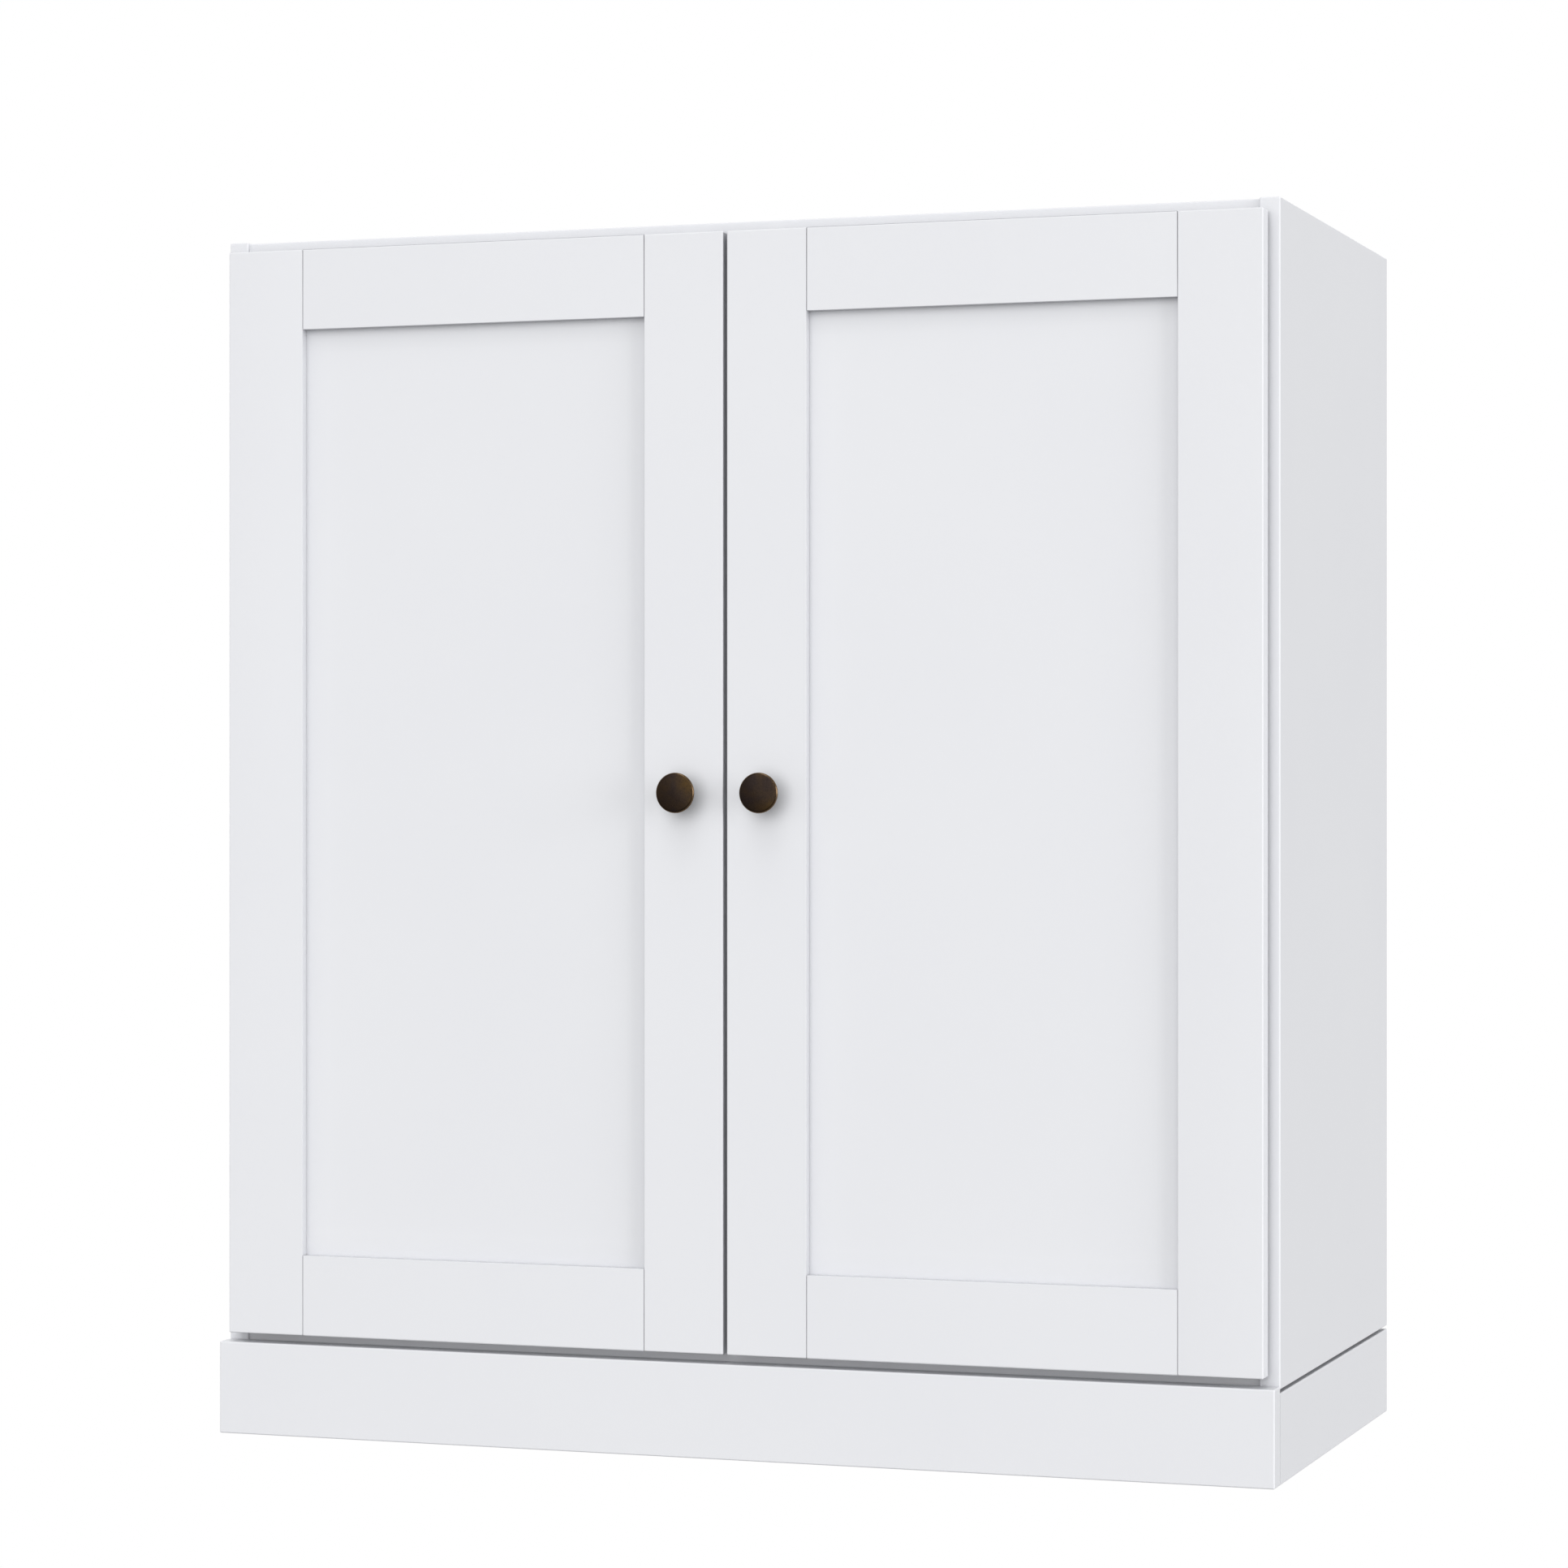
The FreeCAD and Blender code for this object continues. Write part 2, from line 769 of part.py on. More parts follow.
def arm(z):
    """The hinge arm: a barrel on the pin, a bent neck out of the cup, and a channel over the plate."""
    neck_front = door_back + pivot_v - arm_sheet / 2
    neck_height = (z - barrel_half, z + barrel_half)
    leg_x = (door_outer - leg_u, door_outer - leg_u - arm_sheet)
    web_x = door_outer - web_u
    body = [
        pin_rod(z, barrel_half, barrel_radius),
        box((door_outer - pivot_u, leg_x[1]), (neck_front, neck_front + arm_sheet), neck_height),
        box(leg_x, (neck_front, door_back + leg_rear_v), neck_height),
        box(
            (web_x, leg_x[1]),
            (door_back + cheek_front_v, door_back + leg_rear_v),
            (z - arm_half, z + arm_half),
        ),
        box(
            (web_x, web_x - web_sheet),
            (door_back + web_front_v, door_back + arm_rear_v),
            (z - arm_half, z + arm_half),
        ),
    ]
    for side in (-1, 1):
        body.append(box(
            (web_x + cheek_reach, web_x - web_sheet),
            (door_back + cheek_front_v, door_back + arm_rear_v),
            (z + side * arm_half, z + side * (arm_half + cheek_sheet)),
        ))
    holes = [pin_rod(z, barrel_half + 1, hinge_pin_radius + running_clearance)]
    for v in arm_screw_places:
        end = door_point(web_u + web_sheet + 1, v, z)
        holes.append(rod(door_point(web_u - 1, v, z), end, arm_slot_radius + fit))
    return drilled(joined(body), holes)


def plate(z):
    """The mounting plate: two wings on the side panel and a raised block under the arm."""
    wings = rounded(
        box(
            (inner, inner - wing_sheet),
            (row_front_y - wing_half_width, row_front_y + wing_half_width),
            (z - wing_half_height, z + wing_half_height),
        ),
        wing_corner,
        lambda middle, direction: abs(direction.x) > 0.9,
    )
    block = rounded(
        box(
            (inner, door_outer - web_u),
            (door_back + plate_front_v, door_back + plate_rear_v),
            (z - plate_rise, z + plate_rise),
        ),
        plate_round,
        lambda middle, direction: abs(direction.x) > 0.9,
    )
    holes = []
    for height in (z - plate_screw_spread, z + plate_screw_spread):
        start = (inner + 1, row_front_y, height)
        holes.append(rod(start, (inner - 4, row_front_y, height), plate_screw_radius + fit))
    for v in arm_screw_places:
        start = (inner + 1, door_back + v, z)
        holes.append(rod(start, door_point(web_u + 1, v, z), arm_screw_radius + fit))
    return drilled(joined([wings, block]), holes)


def plate_screw(z):
    """A system screw through a plate's wing into a row hole."""
    seat = (inner - wing_sheet, row_front_y, z)
    tip = (inner + row_hole_depth - end_room, row_front_y, z)
    return pan_screw(seat, tip, plate_screw_head, plate_screw_head_height, plate_screw_radius)


def arm_screw(v, z):
    """A machine screw that clamps the arm to its plate."""
    seat = door_point(web_u + web_sheet, v, z)
    tip = (inner - 1.5, door_back + v, z)
    return pan_screw(seat, tip, arm_screw_head, arm_screw_head_height, arm_screw_radius)


# Every node

os.makedirs("parts", exist_ok=True)

bottom_panel = horizontal_panel(carcass_bottom, bottom_top, carcass_bottom)
export("side_panel_right", [side_panel()])
export("side_panel_left", [mirrored(side_panel())])
export("top_panel", [horizontal_panel(top_under, top_under, top_top)])
export("bottom_panel", [drilled(bottom_panel, skirt_screw_holes())])
export("back_panel", [back_panel()])
export("hanging_rail_top", [hanging_rail(top_rail_middle)])
export("hanging_rail_bottom", [hanging_rail(bottom_rail_middle)])
export("shelf_lower", [shelf(lower_shelf_pin)])
export("shelf_upper", [shelf(upper_shelf_pin)])
export("shelf_pins_lower", shelf_pins(lower_shelf_pin))
export("shelf_pins_upper", shelf_pins(upper_shelf_pin))

cams = [cam_lock(y, top_top, -1) for y in cam_rows] + [cam_lock(y, carcass_bottom, 1) for y in cam_rows]
panel_joints = (top_middle, bottom_middle)
rail_joints = (*rail_dowel_heights(top_rail_middle), *rail_dowel_heights(bottom_rail_middle))
export("cam_locks", both_sides(cams))
export("cam_bolts", both_sides([cam_bolt(y, z) for y in cam_rows for z in panel_joints]))
export("cam_caps", both_sides([cam_cap(y) for y in cam_rows]))
export("panel_dowels", both_sides([dowel(y, z) for y in dowel_rows for z in panel_joints]))
export("rail_dowels", both_sides([dowel(rail_dowel_y, z) for z in rail_joints]))

export("skirt_front", [skirt_front()])
export("skirt_side_right", [skirt_side()])
export("skirt_side_left", [mirrored(skirt_side())])
export("skirt_rear_rail", [skirt_rear_rail()])
export("corner_blocks", both_sides([corner_block(block_front, -1), corner_block(block_rear, 1)]))
export("skirt_screws", skirt_screws())

for level, hinge_z in zip(("lower", "upper"), hinge_heights):
    for name, shape in (("plate", plate(hinge_z)), ("arm", arm(hinge_z)), ("cup", cup(hinge_z))):
        export("hinge_" + name + "_right_" + level, [shape])
        export("hinge_" + name + "_left_" + level, [mirrored(shape)])

plate_screw_heights = [z + side * plate_screw_spread for z in hinge_heights for side in (-1, 1)]
cup_screw_heights = [z + side * cup_screw_spread for z in hinge_heights for side in (-1, 1)]
export("plate_screws", both_sides([plate_screw(z) for z in plate_screw_heights]))
export("arm_screws", both_sides([arm_screw(v, z) for z in hinge_heights for v in arm_screw_places]))

door_pieces = {
    "outer_stile": [outer_stile()],
    "inner_stile": [inner_stile()],
    "top_rail": [door_rail(door_top, -1)],
    "bottom_rail": [door_rail(door_bottom, 1)],
    "centre_panel": [centre_panel()],
    "knob": [knob()],
    "knob_screw": [knob_screw()],
    "hinge_pins": [pin_rod(z, lug_half, hinge_pin_radius) for z in hinge_heights],
    "cup_screws": [cup_screw(z) for z in cup_screw_heights],
    "bumpers": [bumper((top_under + 0.4, door_top - 1.2)), bumper((door_bottom + 1.0, bottom_top - 0.4))],
}
for name, shapes in door_pieces.items():
    export("right_door_" + name, shapes)
    export("left_door_" + name, [mirrored(shape) for shape in shapes])
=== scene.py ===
import json
import math

import bmesh
import bpy
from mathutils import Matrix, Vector


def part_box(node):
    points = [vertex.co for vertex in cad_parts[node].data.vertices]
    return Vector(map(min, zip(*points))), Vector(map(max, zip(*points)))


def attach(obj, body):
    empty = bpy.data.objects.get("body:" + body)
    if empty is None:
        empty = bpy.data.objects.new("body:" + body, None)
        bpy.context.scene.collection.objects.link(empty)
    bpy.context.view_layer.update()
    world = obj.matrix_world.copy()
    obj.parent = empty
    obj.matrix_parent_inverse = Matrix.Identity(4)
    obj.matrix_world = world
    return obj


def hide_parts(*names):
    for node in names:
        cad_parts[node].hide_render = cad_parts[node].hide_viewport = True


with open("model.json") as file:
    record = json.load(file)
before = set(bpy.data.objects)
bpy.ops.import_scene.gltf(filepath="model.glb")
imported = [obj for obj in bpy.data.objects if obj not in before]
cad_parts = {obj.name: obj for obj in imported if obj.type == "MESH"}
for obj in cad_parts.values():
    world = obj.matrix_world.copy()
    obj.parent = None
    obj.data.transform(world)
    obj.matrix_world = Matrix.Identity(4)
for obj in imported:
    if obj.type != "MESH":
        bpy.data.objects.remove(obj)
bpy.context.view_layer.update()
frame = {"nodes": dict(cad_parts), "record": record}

MM = 0.001
SIDES = ("right", "left")
LEVELS = ("lower", "upper")
DOOR_FRAME = ("outer_stile", "inner_stile", "top_rail", "bottom_rail")
RIGHTWARD = Vector((1, 0, 0))
UPWARD = Vector((0, 0, 1))

# Mesh work: how near two vertices are when they count as one, how near a vertex is when it lies on a
# line, how far faces turn when they are still one flat face, and how far they turn at a sharp edge
ONE_VERTEX = 0.004 * MM
ON_THE_LINE = 0.05 * MM
STILL_FLAT = math.radians(0.5)
SHARP = math.radians(35)

# The front edges of the door frames: the arris of the CAD pieces, the finer one of the finished pieces,
# and the hair gap between the end of a rail and its stile
CAD_ARRIS = 0.8 * MM
FINE_ARRIS = 0.25 * MM
HAIR_GAP = 0.34 * MM


# Shader nodes

def linear(hex_colour):
    """An sRGB hex colour as the linear colour that shaders want."""
    values = [int(hex_colour[i:i + 2], 16) / 255 for i in (1, 3, 5)]
    return tuple(v / 12.92 if v <= 0.04045 else ((v + 0.055) / 1.055) ** 2.4 for v in values) + (1.0,)


def add(tree, kind, output=0, settings=None, **sockets):
    """Add a node with its settings, values and links, and return one of its outputs."""
    node = tree.nodes.new(kind)
    for name, value in (settings or {}).items():
        setattr(node, name, value)
    for name, value in sockets.items():
        socket = node.inputs[int(name[1:]) if name[0] == "_" else name.replace("_", " ")]
        if isinstance(value, bpy.types.NodeSocket):
            tree.links.new(value, socket)
        else:
            socket.default_value = value
    return node.outputs[output] if node.outputs else node


def new_material(name):
    """An empty material, its tree and the piece's own coordinates in metres."""
    material = bpy.data.materials.new(name)
    material.use_nodes = True
    tree = material.node_tree
    tree.nodes.clear()
    return material, tree, add(tree, "ShaderNodeTexCoord", "Object")


def grains(size_mm):
    """The texture scale that gives features of this size in millimetres."""
    return 1.0 / (size_mm * MM)


COLOURS = {"data_type": "RGBA"}


# Patterns, and painted shade, that more than one finish has

def painted_corner_shade(tree, white):
    """Painted shade: a white that turns softly greyer within a board's thickness of a corner or groove."""
    grey, reach = linear("#C5C6CA"), 18 * MM
    # Painted shade: the grey is mixed in wherever ambient occlusion finds the surface hemmed in
    open_air = add(tree, "ShaderNodeAmbientOcclusion", "AO", {"samples": 8}, Distance=reach)
    return add(tree, "ShaderNodeMix", 2, COLOURS, _0=open_air, _6=grey, _7=white)


def pressed_chips(tree, place):
    """The colour and the relief of bare chipboard: pale and dark chips, a few millimetres across."""
    chips = add(tree, "ShaderNodeTexVoronoi", "Color", Vector=place, Scale=grains(2.4))
    chip = add(tree, "ShaderNodeSeparateColor", "Red", Color=chips)
    flake = add(tree, "ShaderNodeTexNoise", Vector=place, Scale=grains(0.9), Detail=4.0, Roughness=0.7)
    mixed = add(tree, "ShaderNodeMath", 0, {"operation": "MULTIPLY"}, _0=chip, _1=flake)
    bare = add(tree, "ShaderNodeMix", 2, COLOURS, _0=mixed, _6=linear("#CDAF80"), _7=linear("#7E5E3C"))
    return bare, flake


# Finishes: one function for each real material

def satin_lacquer():
    """Sprayed satin lacquer on fibreboard: cool even white with painted shade in corners, and faint orange
    peel.
    """
    material, tree, place = new_material("white_satin_lacquer")
    cloud = add(tree, "ShaderNodeTexNoise", Vector=place, Scale=grains(150), Detail=3.0)
    white = add(tree, "ShaderNodeMix", 2, COLOURS, _0=cloud, _6=linear("#E9EAED"), _7=linear("#E6E7EB"))
    # Painted shade: the white greys where corners and grooves are in shade
    colour = painted_corner_shade(tree, white)
    peel = add(tree, "ShaderNodeTexNoise", Vector=place, Scale=grains(3.0), Detail=3.0, Distortion=0.4)
    gloss = add(tree, "ShaderNodeMapRange", Value=peel, From_Min=0.3, From_Max=0.7, To_Min=0.4, To_Max=0.5)
    normal = add(tree, "ShaderNodeBump", Height=peel, Distance=0.018 * MM)
    shader = add(
        tree, "ShaderNodeBsdfPrincipled", Base_Color=colour, Roughness=gloss, Normal=normal, IOR=1.47,
    )
    add(tree, "ShaderNodeOutputMaterial", Surface=shader)
    return material


def faced_chipboard():
    """Melamine-faced chipboard: a pearl-textured white face with painted shade in corners, and bare pressed
    chips at the rear edge.
    """
    material, tree, place = new_material("melamine_faced_chipboard")
    squarely, sawn_edge = 0.9, -0.3 * MM
    cloud = add(tree, "ShaderNodeTexNoise", Vector=place, Scale=grains(160), Detail=2.0)
    clean = add(tree, "ShaderNodeMix", 2, COLOURS, _0=cloud, _6=linear("#E8E9EC"), _7=linear("#E5E6EA"))
    # Painted shade: the white face greys where corners and grooves are in shade
    white = painted_corner_shade(tree, clean)
    pearl = add(tree, "ShaderNodeTexVoronoi", "Distance", Vector=place, Scale=grains(1.3))
    bare, flake = pressed_chips(tree, place)
    facing = add(tree, "ShaderNodeNewGeometry", "True Normal")
    backward = add(tree, "ShaderNodeSeparateXYZ", "Y", Vector=facing)
    depth = add(tree, "ShaderNodeSeparateXYZ", "Y", Vector=place)
    square = add(tree, "ShaderNodeMath", 0, {"operation": "GREATER_THAN"}, _0=backward, _1=squarely)
    rearmost = add(tree, "ShaderNodeMath", 0, {"operation": "GREATER_THAN"}, _0=depth, _1=sawn_edge)
    raw = add(tree, "ShaderNodeMath", 0, {"operation": "MULTIPLY"}, _0=square, _1=rearmost)
    colour = add(tree, "ShaderNodeMix", 2, COLOURS, _0=raw, _6=white, _7=bare)
    relief = add(tree, "ShaderNodeMix", 0, _0=raw, _2=pearl, _3=flake)
    gloss = add(tree, "ShaderNodeMapRange", Value=raw, To_Min=0.46, To_Max=0.88)
    normal = add(tree, "ShaderNodeBump", Height=relief, Distance=0.025 * MM)
    shader = add(
        tree, "ShaderNodeBsdfPrincipled", Base_Color=colour, Roughness=gloss, Normal=normal, IOR=1.5,
    )
    add(tree, "ShaderNodeOutputMaterial", Surface=shader)
    return material


def chipboard_rail():
    """Chipboard rail: white melamine on its two faces, and bare pressed chips on its sawn edges."""
    material, tree, place = new_material("white_faced_chipboard_rail")
    mostly = 0.7
    facing = add(tree, "ShaderNodeNewGeometry", "True Normal")
    across = add(tree, "ShaderNodeSeparateXYZ", "Y", Vector=facing)
    flat = add(tree, "ShaderNodeMath", 0, {"operation": "ABSOLUTE"}, _0=across)
    face = add(tree, "ShaderNodeMath", 0, {"operation": "GREATER_THAN"}, _0=flat, _1=mostly)
    bare, flake = pressed_chips(tree, place)
    cloud = add(tree, "ShaderNodeTexNoise", Vector=place, Scale=grains(120), Detail=2.0)
    white = add(tree, "ShaderNodeMix", 2, COLOURS, _0=cloud, _6=linear("#E6E6E4"), _7=linear("#E0E0DD"))
    colour = add(tree, "ShaderNodeMix", 2, COLOURS, _0=face, _6=bare, _7=white)
    gloss = add(tree, "ShaderNodeMapRange", Value=face, To_Min=0.88, To_Max=0.46)
    normal = add(tree, "ShaderNodeBump", Height=flake, Distance=0.03 * MM)
    shader = add(
        tree, "ShaderNodeBsdfPrincipled", Base_Color=colour, Roughness=gloss, Normal=normal, IOR=1.5,
    )
    add(tree, "ShaderNodeOutputMaterial", Surface=shader)
    return material


def hardboard():
    """Thin hardboard: painted white towards the shelves, brown pressed fibre towards the wall."""
    material, tree, place = new_material("white_faced_hardboard")
    low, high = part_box("back_panel")
    paint_depth = 0.4 * MM
    depth = add(tree, "ShaderNodeSeparateXYZ", "Y", Vector=place)
    rear = add(
        tree, "ShaderNodeMath", 0, {"operation": "GREATER_THAN"}, _0=depth, _1=low.y + paint_depth,
    )
    fibre = add(
        tree, "ShaderNodeTexNoise", Vector=place,
        Scale=grains(2.2), Detail=6.0, Roughness=0.7, Distortion=1.5,
    )
    cloud = add(tree, "ShaderNodeTexNoise", Vector=place, Scale=grains(70), Detail=4.0)
    strands = add(tree, "ShaderNodeMapRange", Value=fibre, From_Min=0.3, From_Max=0.7)
    stain = add(tree, "ShaderNodeMapRange", Value=cloud, From_Min=0.3, From_Max=0.7, To_Max=0.4)
    brown = add(tree, "ShaderNodeMix", 2, COLOURS, _0=strands, _6=linear("#735538"), _7=linear("#9A764F"))
    mottled = add(tree, "ShaderNodeMix", 2, COLOURS, _0=stain, _6=brown, _7=linear("#5F4630"))
    colour = add(tree, "ShaderNodeMix", 2, COLOURS, _0=rear, _6=linear("#E7E8EA"), _7=mottled)
    gloss = add(tree, "ShaderNodeMapRange", Value=rear, To_Min=0.44, To_Max=0.8)
    normal = add(tree, "ShaderNodeBump", Height=fibre, Distance=0.05 * MM)
    shader = add(
        tree, "ShaderNodeBsdfPrincipled", Base_Color=colour, Roughness=gloss, Normal=normal, IOR=1.5,
    )
    add(tree, "ShaderNodeOutputMaterial", Surface=shader)
    return material


def planed_pine():
    """Planed pine: pale sapwood with darker growth lines along the grain and short pores."""
    material, tree, place = new_material("planed_pine")
    along = add(tree, "ShaderNodeMapping", Vector=place, Rotation=(0.1, 0.06, 0.5), Scale=(1.0, 1.0, 0.1))
    rings = add(
        tree, "ShaderNodeTexWave", "Fac", {"wave_type": "RINGS", "rings_direction": "Z"},
        Vector=along, Scale=grains(45), Distortion=3.0, Detail=3.0, Detail_Scale=1.6,
    )
    pores = add(tree, "ShaderNodeTexNoise", Vector=along, Scale=grains(0.9), Detail=4.0, Roughness=0.6)
    speckle = add(tree, "ShaderNodeMapRange", Value=pores, From_Min=0.45, From_Max=0.7, To_Max=0.4)
    grain = add(tree, "ShaderNodeMix", 2, COLOURS, _0=rings, _6=linear("#DDBF92"), _7=linear("#BF9460"))
    colour = add(tree, "ShaderNodeMix", 2, COLOURS, _0=speckle, _6=grain, _7=linear("#8F6A42"))
    gloss = add(tree, "ShaderNodeMapRange", Value=rings, To_Min=0.66, To_Max=0.54)
    normal = add(tree, "ShaderNodeBump", Height=pores, Distance=0.05 * MM)
    shader = add(
        tree, "ShaderNodeBsdfPrincipled", Base_Color=colour, Roughness=gloss, Normal=normal, IOR=1.5,
    )
    add(tree, "ShaderNodeOutputMaterial", Surface=shader)
    return material


def dark_bronze():
    """Oil-rubbed bronze: near black with a warm brown glow, and a thin bright line on its rim that is
    rubbed-through wear and a painted highlight too.
    """
    material, tree, place = new_material("oil_rubbed_bronze")
    low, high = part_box("right_door_knob")
    middle = (low + high) / 2
    rim = (high.x - low.x) / 2
    # A ring just inside the rim: lighter rubbed-through bronze, and a painted highlight where the rim would
    # catch the light
    rub_and_glint_starts, rub_and_glint_ends = rim - 1.1 * MM, rim - 0.5 * MM
    spot = add(tree, "ShaderNodeVectorMath", 0, {"operation": "ABSOLUTE"}, _0=place)
    reach = add(
        tree, "ShaderNodeVectorMath", 0, {"operation": "SUBTRACT"}, _0=spot, _1=(middle.x, 0, middle.z),
    )
    flat = add(tree, "ShaderNodeVectorMath", 0, {"operation": "MULTIPLY"}, _0=reach, _1=(1, 0, 1))
    radius = add(tree, "ShaderNodeVectorMath", "Value", {"operation": "LENGTH"}, _0=flat)
    edge = add(tree, "ShaderNodeMapRange", Value=radius, From_Min=rub_and_glint_starts, From_Max=rub_and_glint_ends)
    cloud = add(tree, "ShaderNodeTexNoise", Vector=place, Scale=grains(18), Detail=2.0)
    rub = add(tree, "ShaderNodeTexNoise", Vector=place, Scale=grains(1.6), Detail=4.0, Roughness=0.6)
    warmth = add(tree, "ShaderNodeMapRange", Value=cloud, From_Min=0.35, From_Max=0.68)
    warm = add(tree, "ShaderNodeMix", 2, COLOURS, _0=warmth, _6=linear("#261E1B"), _7=linear("#372916"))
    dark = add(tree, "ShaderNodeMapRange", Value=rub, From_Min=0.45, From_Max=0.75, To_Max=0.4)
    oiled = add(tree, "ShaderNodeMix", 2, COLOURS, _0=dark, _6=warm, _7=linear("#1D1815"))
    # The rim ring takes the lighter bronze: wear, and a painted highlight
    colour = add(tree, "ShaderNodeMix", 2, COLOURS, _0=edge, _6=oiled, _7=linear("#6E5A44"))
    gloss = add(tree, "ShaderNodeMapRange", Value=rub, From_Min=0.3, From_Max=0.7, To_Min=0.22, To_Max=0.32)
    normal = add(tree, "ShaderNodeBump", Height=rub, Distance=0.006 * MM)
    shader = add(
        tree, "ShaderNodeBsdfPrincipled", Base_Color=colour, Roughness=gloss, Normal=normal, Metallic=1.0,
        Coat_Weight=0.05, Coat_Roughness=0.1,
    )
    add(tree, "ShaderNodeOutputMaterial", Surface=shader)
    return material


def plated_steel(name, tone, shade, smooth, rough, grain_mm):
    """Plated steel: a bright thin plating that keeps the rolled grain of the sheet below."""
    material, tree, place = new_material(name)
    drawn = add(tree, "ShaderNodeMapping", Vector=place, Scale=(1.0, 0.06, 1.0))
    grain = add(tree, "ShaderNodeTexNoise", Vector=drawn, Scale=grains(grain_mm), Detail=3.0, Roughness=0.6)
    cloud = add(tree, "ShaderNodeTexNoise", Vector=place, Scale=grains(9))
    colour = add(tree, "ShaderNodeMix", 2, COLOURS, _0=cloud, _6=linear(tone), _7=linear(shade))
    gloss = add(
        tree, "ShaderNodeMapRange", Value=grain, From_Min=0.3, From_Max=0.7, To_Min=smooth, To_Max=rough,
    )
    normal = add(tree, "ShaderNodeBump", Height=grain, Distance=0.006 * MM)
    shader = add(
        tree, "ShaderNodeBsdfPrincipled", Base_Color=colour, Roughness=gloss, Normal=normal, Metallic=1.0,
    )
    add(tree, "ShaderNodeOutputMaterial", Surface=shader)
    return material


def cast_zinc():
    """Die-cast zinc: dull grey, with the pebbled skin of the mould."""
    material, tree, place = new_material("die_cast_zinc")
    skin = add(tree, "ShaderNodeTexNoise", Vector=place, Scale=grains(0.8), Detail=4.0, Roughness=0.65)
    cloud = add(tree, "ShaderNodeTexNoise", Vector=place, Scale=grains(7))
    colour = add(tree, "ShaderNodeMix", 2, COLOURS, _0=cloud, _6=linear("#A9ABAC"), _7=linear("#8A8C8E"))
    gloss = add(tree, "ShaderNodeMapRange", Value=skin, From_Min=0.3, From_Max=0.7, To_Min=0.42, To_Max=0.6)
    normal = add(tree, "ShaderNodeBump", Height=skin, Distance=0.03 * MM)
    shader = add(
        tree, "ShaderNodeBsdfPrincipled", Base_Color=colour, Roughness=gloss, Normal=normal, Metallic=1.0,
    )
    add(tree, "ShaderNodeOutputMaterial", Surface=shader)
    return material


def moulded_polystyrene():
    """Moulded polystyrene: plain white, with the fine texture of a spark-eroded mould."""
    material, tree, place = new_material("moulded_polystyrene")
    skin = add(tree, "ShaderNodeTexNoise", Vector=place, Scale=grains(0.6), Roughness=0.6)
    colour = add(tree, "ShaderNodeMix", 2, COLOURS, _0=skin, _6=linear("#E9E9E8"), _7=linear("#E0E0DE"))
    gloss = add(tree, "ShaderNodeMapRange", Value=skin, To_Min=0.34, To_Max=0.5)
    normal = add(tree, "ShaderNodeBump", Height=skin, Distance=0.015 * MM)
    shader = add(
        tree, "ShaderNodeBsdfPrincipled", Base_Color=colour, Roughness=gloss, Normal=normal, IOR=1.59,
    )
    add(tree, "ShaderNodeOutputMaterial", Surface=shader)
    return material


def milky_polyurethane():
    """Polyurethane pad: milky and slightly translucent, with a soft dull skin."""
    material, tree, place = new_material("milky_polyurethane")
    skin = add(tree, "ShaderNodeTexNoise", Vector=place, Scale=grains(1.2))
    colour = add(tree, "ShaderNodeMix", 2, COLOURS, _0=skin, _6=linear("#D8D8D5"), _7=linear("#C8C8C5"))
    gloss = add(tree, "ShaderNodeMapRange", Value=skin, To_Min=0.5, To_Max=0.66)
    normal = add(tree, "ShaderNodeBump", Height=skin, Distance=0.01 * MM)
    shader = add(
        tree, "ShaderNodeBsdfPrincipled", Base_Color=colour, Roughness=gloss, Normal=normal, IOR=1.5,
        Subsurface_Weight=0.35, Subsurface_Radius=(2 * MM, 2 * MM, 2 * MM),
    )
    add(tree, "ShaderNodeOutputMaterial", Surface=shader)
    return material


FINISHES = {
    "painted_board": satin_lacquer(),
    "painted_sheet": hardboard(),
    "raw_board": chipboard_rail(),
    "bare_timber": planed_pine(),
    "dark_bronze": dark_bronze(),
    "nickel_steel": plated_steel("nickel_plated_steel", "#CBC7BE", "#BEBAB1", 0.22, 0.36, 0.5),
    "zinc_plated_steel": plated_steel("zinc_plated_steel", "#BAC0C6", "#A9AEB2", 0.3, 0.46, 0.7),
    "cast_zinc": cast_zinc(),
    "white_plastic": moulded_polystyrene(),
    "bumper_rubber": milky_polyurethane(),
}
MELAMINE = faced_chipboard()
MELAMINE_NODES = (
    "side_panel_right", "side_panel_left", "top_panel", "bottom_panel", "shelf_lower", "shelf_upper",
    "skirt_side_right", "skirt_side_left",
)


def finish_with(piece, material):
    """Give a piece one finish all over."""
    piece.data.materials.clear()
    piece.data.materials.append(material)


for part in frame["record"]["subparts"]:
    node = part["node"]
    finish = MELAMINE if node in MELAMINE_NODES else FINISHES[part["material_slot"]]
    finish_with(frame["nodes"][node], finish)


# Pieces

def body_of(node):
    """The name of the body that a node belongs to."""
    bodies = frame["record"]["behaviour"]["bodies"]
    return next(body for body, members in bodies.items() if node in members)


def slot_of(node):
    """The material slot of a node."""
    return next(part["material_slot"] for part in frame["record"]["subparts"] if part["node"] == node)


def piece_from(shape, name, node):
    """Make an object of a finished bmesh, standing for one CAD node."""
    bmesh.ops.recalc_face_normals(shape, faces=shape.faces)
    mesh = bpy.data.meshes.new(name)
    shape.to_mesh(mesh)
    shape.free()
    mesh.polygons.foreach_set("use_smooth", [True] * len(mesh.polygons))
    mesh.set_sharp_from_angle(angle=SHARP)
    piece = bpy.data.objects.new(name, mesh)
    bpy.context.scene.collection.objects.link(piece)
    finish_with(piece, FINISHES[slot_of(node)])
    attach(piece, body_of(node))
    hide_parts(node)
    return piece


